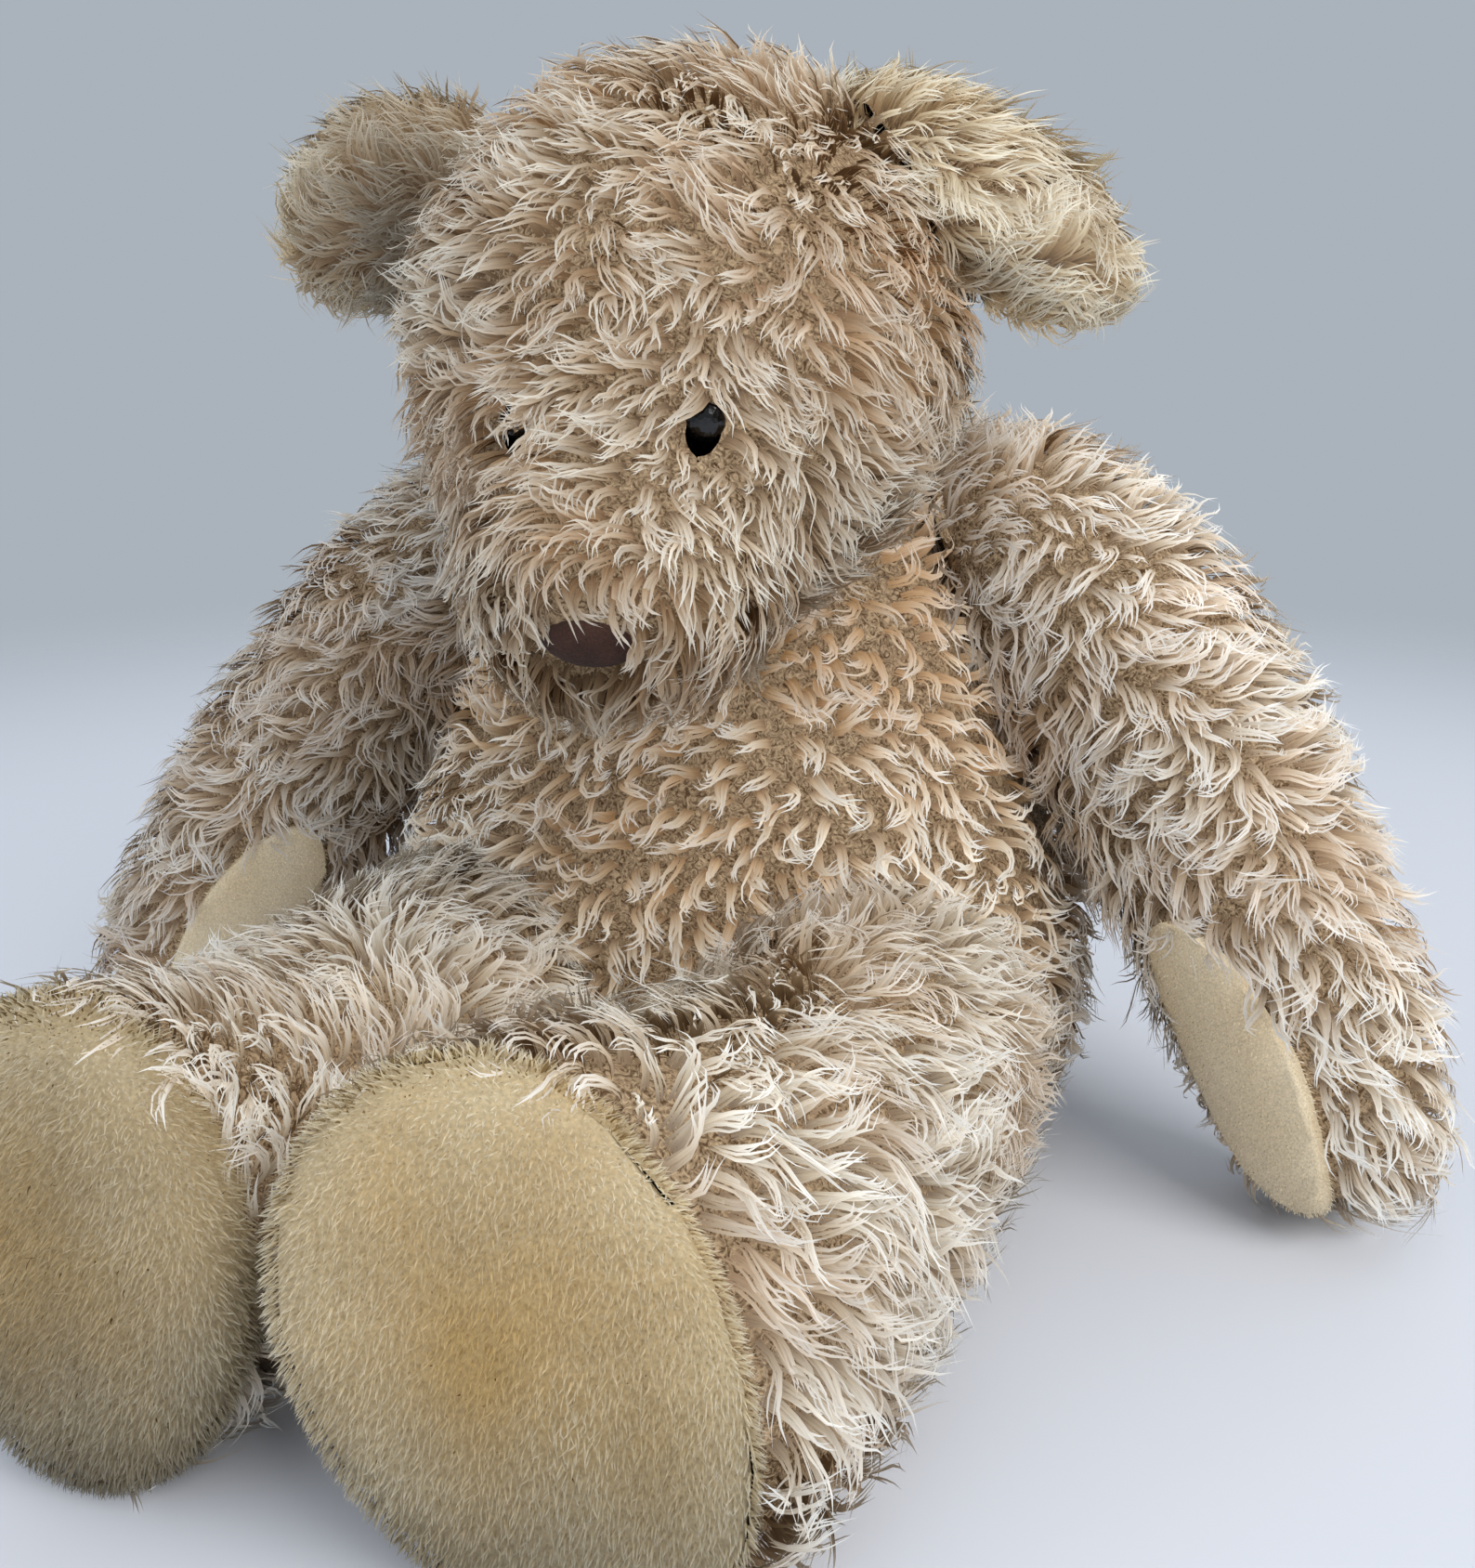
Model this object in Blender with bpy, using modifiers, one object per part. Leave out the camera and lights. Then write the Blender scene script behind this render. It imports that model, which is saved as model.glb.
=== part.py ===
"""A large seated plush bear: a bowed head, a pear-shaped body, long floppy sewn limbs and a deep curly pile.

Every cover is a closed solid that is as thick as its backing cloth and pile together. Its hollow holds the
stuffing, and it is open where another piece is sewn over it: at the neck, under the foot pads and under the
paw pads. The bear faces -Y, its left is +X, and it sits on z = 0.
"""

import math

import bmesh
import bpy
from mathutils import Vector

# Fits
GAP = 0.0003

# Covers
WALL = 0.014
SIDES = 10
HOLLOW_SIDES = 8

# Body: height of each section with its half width, its half depth and how far back its centre lies
SEAT_FLAT = 0.72
BODY_SECTIONS = (
    (0.000, 0.176, 0.136, 0.000),
    (0.036, 0.196, 0.150, 0.000),
    (0.090, 0.203, 0.155, 0.000),
    (0.150, 0.198, 0.152, 0.002),
    (0.210, 0.172, 0.136, 0.006),
    (0.270, 0.152, 0.116, 0.010),
    (0.330, 0.138, 0.098, 0.014),
    (0.372, 0.104, 0.072, 0.016),
    (0.388, 0.048, 0.038, 0.016),
)
NECK_HOLE_RADIUS = 0.032
NECK_DEPTH = 0.090

# Head: where its middle is, where it looks, and its sections along that look
HEAD_CENTRE = Vector((0.007, -0.100, 0.418))
HEAD_LOOK = Vector((0.055, -0.817, -0.571)).normalized()
HEAD_SECTIONS = (
    (-0.130, 0.040, 0.040, 0.000),
    (-0.113, 0.084, 0.080, 0.000),
    (-0.068, 0.119, 0.112, 0.000),
    (-0.010, 0.131, 0.124, 0.000),
    (0.050, 0.119, 0.110, 0.000),
    (0.095, 0.090, 0.082, -0.006),
    (0.125, 0.070, 0.060, -0.012),
    (0.155, 0.062, 0.053, -0.014),
    (0.180, 0.050, 0.044, -0.014),
    (0.192, 0.024, 0.022, -0.014),
)

# Eyes and nose
EYE_RADIUS = 0.0085
EYE_HEIGHT = 0.0055
EYE_SUNK = 0.005
EYE_SIDE = 0.37
EYE_RISE = 0.38
SHANK_RADIUS = 0.0022
WASHER_RADIUS = 0.008
WASHER_HEIGHT = 0.002
WASHER_STAND = 0.0012
NOSE_WIDTH = 0.042
NOSE_TALL = 0.026
NOSE_HEIGHT = 0.010
NOSE_SUNK = 0.001
NOSE_DROP = 0.06

# Arms and legs: centre of each section, then its half width and half height
ARM_SECTIONS = {
    "left": (
        (0.088, 0.022, 0.326, 0.036, 0.036),
        (0.116, 0.020, 0.328, 0.056, 0.060),
        (0.167, 0.010, 0.315, 0.064, 0.069),
        (0.220, -0.008, 0.258, 0.065, 0.070),
        (0.267, -0.030, 0.188, 0.059, 0.066),
        (0.304, -0.050, 0.118, 0.052, 0.061),
        (0.330, -0.066, 0.056, 0.046, 0.056),
        (0.342, -0.074, 0.028, 0.037, 0.043),
        (0.346, -0.077, 0.014, 0.018, 0.020),
    ),
    "right": (
        (-0.088, 0.022, 0.318, 0.036, 0.036),
        (-0.118, 0.020, 0.318, 0.058, 0.062),
        (-0.165, 0.012, 0.300, 0.064, 0.070),
        (-0.222, -0.002, 0.246, 0.064, 0.070),
        (-0.270, -0.018, 0.180, 0.062, 0.068),
        (-0.312, -0.036, 0.118, 0.059, 0.065),
        (-0.345, -0.052, 0.056, 0.055, 0.060),
        (-0.361, -0.060, 0.028, 0.043, 0.046),
        (-0.367, -0.063, 0.014, 0.020, 0.022),
    ),
}
LEG_SECTIONS = {
    "left": (
        (0.104, -0.030, 0.084, 0.036, 0.036),
        (0.106, -0.052, 0.084, 0.074, 0.073),
        (0.111, -0.120, 0.082, 0.083, 0.084),
        (0.106, -0.200, 0.080, 0.077, 0.084),
        (0.096, -0.275, 0.076, 0.075, 0.094),
        (0.082, -0.335, 0.077, 0.079, 0.106),
        (0.060, -0.380, 0.083, 0.077, 0.111),
        (0.049, -0.402, 0.088, 0.071, 0.104),
        (0.047, -0.410, 0.090, 0.049, 0.072),
    ),
    "right": (
        (-0.102, -0.030, 0.084, 0.036, 0.036),
        (-0.104, -0.052, 0.084, 0.072, 0.072),
        (-0.110, -0.120, 0.081, 0.085, 0.082),
        (-0.116, -0.200, 0.078, 0.085, 0.081),
        (-0.122, -0.275, 0.077, 0.079, 0.080),
        (-0.126, -0.335, 0.083, 0.071, 0.085),
        (-0.126, -0.382, 0.094, 0.067, 0.096),
        (-0.125, -0.408, 0.098, 0.060, 0.092),
        (-0.125, -0.416, 0.099, 0.040, 0.064),
    ),
}
FOOT_ROLL = {"left": math.radians(42.0), "right": math.radians(3.0)}
FOOT_FACE = {"left": Vector((0.26, -0.96, 0.08)), "right": Vector((0.04, -1.0, 0.02))}

# Pads
PAW_PAD_THICK = 0.0035
PAW_PAD_LONG = 0.072
PAW_PAD_WIDE = 0.031
PAW_PAD_AT = 6
PAW_PAD_UP = 0.028
PAW_PAD_ACROSS = 1.2
PAW_PAD_LIFT = 0.15
PAW_PAD_REACH = 0.12
FOOT_PAD_THICK = 0.007
FOOT_PAD_SPREAD = 1.3
FOOT_PAD_START = 0.012
FOOT_PAD_AT = 6
FOOT_PAD_REACH = 0.10
OPENING_SHARE = 0.55

# Ears: middle of each section from the root to the rim, in the head's own sideways, forward and upward,
# then its half width and half thickness. The left ear has flopped over and the right one stands.
EAR_SECTIONS = {
    "left": (
        (0.055, -0.083, 0.061, 0.032, 0.014),
        (0.086, -0.066, 0.064, 0.036, 0.018),
        (0.117, -0.053, 0.057, 0.038, 0.019),
        (0.146, -0.045, 0.041, 0.039, 0.019),
        (0.171, -0.046, 0.021, 0.033, 0.017),
        (0.186, -0.050, 0.007, 0.020, 0.013),
        (0.191, -0.052, 0.002, 0.008, 0.006),
    ),
    "right": (
        (-0.105, -0.051, 0.048, 0.036, 0.013),
        (-0.127, -0.052, 0.051, 0.043, 0.017),
        (-0.150, -0.053, 0.052, 0.047, 0.018),
        (-0.174, -0.055, 0.050, 0.045, 0.018),
        (-0.195, -0.060, 0.047, 0.032, 0.015),
        (-0.206, -0.065, 0.043, 0.012, 0.008),
    ),
}
EAR_LINE = {"left": Vector((-0.19, 0.96, -0.20)), "right": Vector((0.21, 0.84, -0.49))}

PALE_PILE = (0.62, 0.50, 0.36)
TAN_PILE = (0.52, 0.38, 0.24)
PAD_PILE = (0.70, 0.55, 0.33)
WADDING = (0.80, 0.78, 0.72)
NOSE_BROWN = (0.045, 0.022, 0.019)
EYE_BLACK = (0.006, 0.006, 0.007)
WASHER_WHITE = (0.75, 0.74, 0.70)


def remove_everything():
    for item in list(bpy.data.objects):
        bpy.data.objects.remove(item, do_unlink=True)


def new_collection(name, hidden=False):
    made = bpy.data.collections.new(name)
    made.hide_render = hidden
    bpy.context.scene.collection.children.link(made)
    return made


def material(name, colour, roughness, metallic=0.0):
    made = bpy.data.materials.new(name)
    made.use_nodes = True
    shader = made.node_tree.nodes["Principled BSDF"]
    shader.inputs["Base Color"].default_value = (*colour, 1.0)
    shader.inputs["Roughness"].default_value = roughness
    shader.inputs["Metallic"].default_value = metallic
    made.diffuse_color = (*colour, 1.0)
    return made


class Section:
    """One oval of a form: its middle, the three directions that it is drawn in and its half sizes."""

    def __init__(self, middle, along, up, half_width, half_height):
        self.middle = middle
        self.along = along.normalized()
        self.side = up.cross(self.along).normalized()
        self.up = self.along.cross(self.side)
        self.half_width = half_width
        self.half_height = half_height

    def points(self, sides, grow, slide):
        spread = (2.0 + math.cos(2.0 * math.pi / sides)) / 3.0
        wide = (self.half_width + grow) / spread
        high = (self.half_height + grow) / spread
        middle = self.middle + self.along * slide
        for index in range(sides):
            turn = 2.0 * math.pi * index / sides
            yield middle + self.side * (wide * math.cos(turn)) + self.up * (high * math.sin(turn))


def form(name, sections, where, sides=SIDES, grow=0.0, lowest=None):
    """A closed smooth form over its sections. grow moves its surface out, also from what it sits on."""
    if lowest is None:
        lowest = -grow
    cage = bmesh.new()
    halfway = 0.5 * (len(sections) - 1)
    rings = []
    for index, section in enumerate(sections):
        slide = grow * (index / halfway - 1.0)
        ring = []
        for point in section.points(sides, grow, slide):
            point.z = max(point.z, lowest)
            ring.append(cage.verts.new(point))
        rings.append(ring)
    for near, far in zip(rings, rings[1:]):
        for index in range(sides):
            after = (index + 1) % sides
            cage.faces.new((near[index], near[after], far[after], far[index]))
    cage.faces.new(rings[0][::-1])
    cage.faces.new(rings[-1])
    made = finished(name, cage, where)
    smoother = made.modifiers.new("Smooth form", "SUBSURF")
    smoother.levels = 1
    smoother.render_levels = 1
    splitter = made.modifiers.new("Same diagonals", "TRIANGULATE")
    splitter.quad_method = "FIXED"
    return made


def finished(name, cage, where):
    mesh = bpy.data.meshes.new(name)
    cage.normal_update()
    bmesh.ops.recalc_face_normals(cage, faces=cage.faces[:])
    cage.to_mesh(mesh)
    cage.free()
    mesh.shade_smooth()
    made = bpy.data.objects.new(name, mesh)
    where.objects.link(made)
    if where.hide_render:
        made.hide_render = True
        made.display_type = "WIRE"
    return made


def rod(name, start, end, radius, where, sides=16, stretch=(1.0, 1.0), up=Vector((0.0, 0.0, 1.0))):
    """A straight round or oval rod from start to end."""
    along = (end - start).normalized()
    side = up.cross(along).normalized()
    over = along.cross(side)
    cage = bmesh.new()
    bmesh.ops.create_cone(cage, cap_ends=True, segments=sides, radius1=radius, radius2=radius,
                          depth=(end - start).length)
    middle = 0.5 * (start + end)
    for vert in cage.verts:
        flat = side * (vert.co.x * stretch[0]) + over * (vert.co.y * stretch[1])
        vert.co = middle + flat + along * vert.co.z
    return finished(name, cage, where)


def boolean(piece, tool, operation="DIFFERENCE"):
    modifier = piece.modifiers.new(tool.name, "BOOLEAN")
    modifier.operation = operation
    modifier.solver = "EXACT"
    modifier.object = tool


def limb_sections(rows, roll=0.0, face=None):
    """Sections square to a limb's centre line. Towards its end they roll and turn to what the end faces."""
    middles = [Vector(row[:3]) for row in rows]
    last = len(rows) - 1
    made = []
    for index, row in enumerate(rows):
        along = (middles[min(index + 1, last)] - middles[max(index - 1, 0)]).normalized()
        share = (index / last) ** 2
        turned = roll * share
        if face is not None:
            along = along.lerp(face, share).normalized()
        side = along.cross(Vector((0.0, 0.0, 1.0))).normalized()
        up = side.cross(along).normalized()
        up = up * math.cos(turned) + side * math.sin(turned)
        made.append(Section(middles[index], along, up, row[3], row[4]))
    return made


def body_sections():
    up = Vector((0.0, 0.0, 1.0))
    back = Vector((0.0, 1.0, 0.0))
    first = BODY_SECTIONS[0]
    made = [Section(Vector((0.0, first[3], first[0])), up, back, first[1] * SEAT_FLAT, first[2] * SEAT_FLAT)]
    for height, half_width, half_depth, behind in BODY_SECTIONS:
        made.append(Section(Vector((0.0, behind, height)), up, back, half_width, half_depth))
    return made


def head_axes():
    """The head's own sideways (its left), forward and upward directions."""
    side = Vector((0.0, 0.0, 1.0)).cross(HEAD_LOOK).normalized()
    return side, HEAD_LOOK, HEAD_LOOK.cross(side).normalized()


def head_sections():
    _, look, up = head_axes()
    made = []
    for ahead, half_width, half_height, rise in HEAD_SECTIONS:
        made.append(Section(HEAD_CENTRE + look * ahead + up * rise, look, up, half_width, half_height))
    return made


def in_head(sideways, forward, upward):
    side, look, up = head_axes()
    return side * sideways + look * forward + up * upward


def ear_sections(side):
    rows = EAR_SECTIONS[side]
    middles = [HEAD_CENTRE + in_head(row[0], row[1], row[2]) for row in rows]
    across = in_head(*EAR_LINE[side])
    last = len(middles) - 1
    made = []
    for index, row in enumerate(rows):
        along = middles[min(index + 1, last)] - middles[max(index - 1, 0)]
        made.append(Section(middles[index], along, along.cross(across), row[3], row[4]))
    return made


def surface_hit(shape, start, direction):
    """Where a line from inside a form leaves it."""
    graph = bpy.context.evaluated_depsgraph_get()
    graph.update()
    found, place, _, _ = shape.evaluated_get(graph).ray_cast(start, direction)
    return place if found else start


def paint(piece, look):
    piece.data.materials.append(look)


def coarser(sections):
    """The first and the last section and every other one between them."""
    return sections[:1] + sections[1:-1:2] + sections[-1:]


def cover(name, sections, parts, cutters, looks, look):
    """A cover with its hollow cut out, and the stuffing that fills it."""
    outside = form(name, sections, parts)
    inside = coarser(sections)
    hollow = form(name + ".hollow", inside, cutters, HOLLOW_SIDES, -WALL)
    boolean(outside, hollow)
    paint(outside, looks[look])
    filling = form(name + "_stuffing", inside, parts, HOLLOW_SIDES, -WALL - GAP)
    paint(filling, looks["wadding"])
    return outside, hollow, filling


def patch(name, sections, prism, thickness, parts, cutters, look):
    """A pad that lies on a limb: what the prism takes of a slightly thicker limb, outside the limb itself."""
    made = form(name, sections, parts, grow=thickness + GAP, lowest=0.0)
    inside = form(name + ".backing", sections, cutters, grow=GAP)
    boolean(made, prism, "INTERSECT")
    boolean(made, inside)
    paint(made, look)


def make_body(parts, cutters, looks):
    sections = body_sections()
    outside, hollow, filling = cover("torso", sections, parts, cutters, looks, "tan")
    head = head_sections()
    boolean(hollow, form("head.over_hollow", head, cutters, grow=WALL))
    boolean(filling, form("head.over_stuffing", head, cutters, grow=WALL + GAP))
    top = Vector((0.0, BODY_SECTIONS[-1][3], BODY_SECTIONS[-1][0] - NECK_DEPTH))
    neck = rod("neck.opening", top, HEAD_CENTRE, NECK_HOLE_RADIUS, cutters)
    boolean(outside, neck)
    return outside, neck


def dome_form(name, foot, outward, up, half_width, half_height, depth, where):
    """A round-topped button with a flat back at its foot."""
    rows = ((0.0, 0.70), (0.0, 0.96), (0.30, 1.0), (0.72, 0.80), (1.0, 0.34))
    over = up - outward * up.dot(outward)
    sections = []
    for share, size in rows:
        middle = foot + outward * (depth * share)
        sections.append(Section(middle, outward, over, half_width * size, half_height * size))
    return form(name, sections, where, HOLLOW_SIDES)


def make_button(name, heading, shape, sunk, head, parts, cutters, looks):
    """A domed button sunk in the head's pile, with a shank through the cover and a washer behind it."""
    half_width, half_height, depth = shape
    guide, hollow = head["guide"], head["hollow"]
    _, _, up = head_axes()
    seat = surface_hit(guide, HEAD_CENTRE, heading)
    back = surface_hit(hollow, HEAD_CENTRE, heading)
    foot = seat - heading * (sunk + depth)
    washer_top = back - heading * WASHER_STAND
    washer_foot = washer_top - heading * WASHER_HEIGHT
    stem_end = washer_foot - heading * WASHER_HEIGHT
    outside = seat + heading * (2.0 * half_width)
    bore = rod(name + ".bore", outside, stem_end - heading * GAP, SHANK_RADIUS + GAP, cutters)
    stretch = (1.0, (half_height + GAP) / (half_width + GAP))
    pocket = rod(name + ".pocket", outside, foot - heading * GAP, half_width + GAP, cutters, 24, stretch, up)
    recess = rod(name + ".recess", outside, stem_end - heading * GAP, WASHER_RADIUS + GAP, cutters)
    bed_top = washer_top + heading * GAP
    bed = rod(name + ".bed", bed_top, stem_end - heading * GAP, WASHER_RADIUS + GAP, cutters)
    stem = rod(name + ".stem", foot + heading * (0.5 * depth), stem_end, SHANK_RADIUS, cutters)
    button = dome_form(name, foot, heading, up, half_width, half_height, depth, parts)
    boolean(button, stem, "UNION")
    paint(button, looks[name.split("_")[0]])
    washer = rod(name + "_washer", washer_top, washer_foot, WASHER_RADIUS, parts)
    boolean(washer, bore)
    paint(washer, looks["washer"])
    boolean(head["cover"], pocket)
    boolean(head["cover"], bore)
    boolean(head["cover"], bed)
    boolean(head["filling"], recess)
    boolean(head["filling"], pocket)


def make_head(parts, cutters, looks, neck):
    sections = head_sections()
    outside, _, filling = cover("head", sections, parts, cutters, looks, "pale")
    boolean(outside, neck)
    guide = form("head.guide", sections, cutters)
    hollow = form("head.inside", coarser(sections), cutters, HOLLOW_SIDES, -WALL)
    head = {"cover": outside, "filling": filling, "guide": guide, "hollow": hollow}
    eye = (EYE_RADIUS, EYE_RADIUS, EYE_HEIGHT)
    for side, mirror in (("left", 1.0), ("right", -1.0)):
        heading = in_head(mirror * EYE_SIDE, 1.0, EYE_RISE).normalized()
        make_button("eye_" + side, heading, eye, EYE_SUNK, head, parts, cutters, looks)
    nose = (0.5 * NOSE_WIDTH, 0.5 * NOSE_TALL, NOSE_HEIGHT)
    heading = in_head(0.0, 1.0, -NOSE_DROP).normalized()
    make_button("nose", heading, nose, NOSE_SUNK, head, parts, cutters, looks)


def make_ears(parts, cutters, looks, head_space):
    for side in ("left", "right"):
        ear = form("ear_" + side, ear_sections(side), parts)
        boolean(ear, head_space)
        paint(ear, looks["pale"])


def make_arm(side, parts, cutters, looks, spaces):
    """An arm with its pad on the paw's inner side, over the opening of the cover."""
    sections = limb_sections(ARM_SECTIONS[side])
    arm, _, filling = cover("arm_" + side, sections, parts, cutters, looks, "pale")
    for space in spaces:
        boolean(arm, space)
        boolean(filling, space)
    along = sections[PAW_PAD_AT].along
    start = Vector(ARM_SECTIONS[side][PAW_PAD_AT][:3]) - along * PAW_PAD_UP
    inward = -1.0 if side == "left" else 1.0
    facing = Vector((inward * PAW_PAD_ACROSS, -1.0, PAW_PAD_LIFT)).normalized()
    far = start + facing * PAW_PAD_REACH
    stretch = (1.0, PAW_PAD_LONG / PAW_PAD_WIDE)
    prism = rod("paw.prism_" + side, start, far, PAW_PAD_WIDE, cutters, 24, stretch, along)
    patch("paw_pad_" + side, sections, prism, PAW_PAD_THICK, parts, cutters, looks["pad"])
    hole = rod("paw.opening_" + side, start, far, PAW_PAD_WIDE * OPENING_SHARE, cutters, 24, stretch, along)
    boolean(arm, hole)


def make_leg(side, parts, cutters, looks, space):
    """A leg with its pad over the open end of the foot."""
    sections = limb_sections(LEG_SECTIONS[side], FOOT_ROLL[side], FOOT_FACE[side])
    leg, _, filling = cover("leg_" + side, sections, parts, cutters, looks, "pale")
    boolean(leg, space)
    boolean(filling, space)
    sole = sections[FOOT_PAD_AT]
    stretch = (1.0, sole.half_height / sole.half_width)
    start = sole.middle + sole.along * FOOT_PAD_START
    far = start + sole.along * FOOT_PAD_REACH
    wide = sole.half_width * FOOT_PAD_SPREAD
    prism = rod("foot.prism_" + side, start, far, wide, cutters, 24, stretch, sole.up)
    patch("foot_pad_" + side, sections, prism, FOOT_PAD_THICK, parts, cutters, looks["pad"])
    wide = sole.half_width * OPENING_SHARE
    hole = rod("foot.opening_" + side, sole.middle, far, wide, cutters, 24, stretch, sole.up)
    boolean(leg, hole)


def make_looks():
    return {
        "pale": material("Pale pile", PALE_PILE, 0.9),
        "tan": material("Tan pile", TAN_PILE, 0.9),
        "pad": material("Pad pile", PAD_PILE, 0.85),
        "wadding": material("Wadding", WADDING, 0.95),
        "nose": material("Brown nap", NOSE_BROWN, 0.8),
        "eye": material("Black gloss", EYE_BLACK, 0.12),
        "washer": material("White washer", WASHER_WHITE, 0.5),
    }


def main():
    remove_everything()
    parts = new_collection("Plush bear")
    cutters = new_collection("Cutters", hidden=True)
    looks = make_looks()
    torso, neck = make_body(parts, cutters, looks)
    head_space = form("head.space", head_sections(), cutters, grow=GAP)
    body_space = form("body.space", body_sections(), cutters, grow=GAP)
    boolean(torso, head_space)
    make_head(parts, cutters, looks, neck)
    make_ears(parts, cutters, looks, head_space)
    for side in ("left", "right"):
        make_arm(side, parts, cutters, looks, (body_space, head_space))
        make_leg(side, parts, cutters, looks, body_space)


main()
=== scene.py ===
import math

import bpy
import numpy as np
from mathutils import Matrix, Vector
from mathutils.bvhtree import BVHTree


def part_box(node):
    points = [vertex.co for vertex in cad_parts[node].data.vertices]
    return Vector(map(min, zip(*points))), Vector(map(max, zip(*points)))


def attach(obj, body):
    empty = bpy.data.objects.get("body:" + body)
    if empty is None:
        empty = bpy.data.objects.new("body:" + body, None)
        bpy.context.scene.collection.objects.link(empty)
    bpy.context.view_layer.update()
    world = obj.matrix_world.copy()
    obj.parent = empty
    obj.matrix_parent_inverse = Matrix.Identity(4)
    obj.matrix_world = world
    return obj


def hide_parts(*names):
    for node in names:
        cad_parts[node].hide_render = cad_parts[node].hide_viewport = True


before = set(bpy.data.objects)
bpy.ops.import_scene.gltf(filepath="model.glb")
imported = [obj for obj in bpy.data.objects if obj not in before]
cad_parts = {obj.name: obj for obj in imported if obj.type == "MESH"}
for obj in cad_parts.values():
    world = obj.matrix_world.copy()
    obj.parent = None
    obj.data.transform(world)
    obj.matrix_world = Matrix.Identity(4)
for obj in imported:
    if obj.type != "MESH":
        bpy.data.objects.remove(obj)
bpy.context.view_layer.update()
rng = np.random.default_rng(11)

# Camera: it sees the bear from its left front and a little above. The focus is in pixels of the
# photograph's frame, which is 1688 tall
AZIMUTH = math.radians(18)
PITCH = math.radians(15.3)
CAMERA_BACK = 0.80
CAMERA_UP = 0.40
FOCUS_PX = 1529
TALL_PX = 1688
SENSOR_MM = 36

STEPS = 6             # segments along one strand of pile
SKIN_IN = 0.007       # the backing cloth lies this far inside the CAD surface, and the pile starts on it
FLOOR_CLEAR = 0.0006  # nothing comes nearer to the floor
PAD_REACH = 0.05      # pads are looked for within this
PAD_CLEAR = 0.005     # no pile of the cover is rooted this near to a pad
PAD_BEHIND = 0.8      # a place this straight behind a pad's face lies beneath it
SHARP = 0.22          # how much of a strand's own shape its shading shows, against that of its skin
WELD_DIGITS = 5       # points that agree to this many decimals are one
EASE = 0.15           # how much a normal takes from its neighbours
ROUNDNESS = 0.7       # how far places in a face move out to the round form that the normals tell of
HEM_IN = 0.3          # a pad's hem draws in by this share of its depth
FAN_DEPTH = 0.93      # how near to the skin the lowest test ray goes
RAY_START = 0.0008    # test rays start this far over the skin
ALONG = np.linspace(0, 1, STEPS + 1)[None, :]

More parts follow.
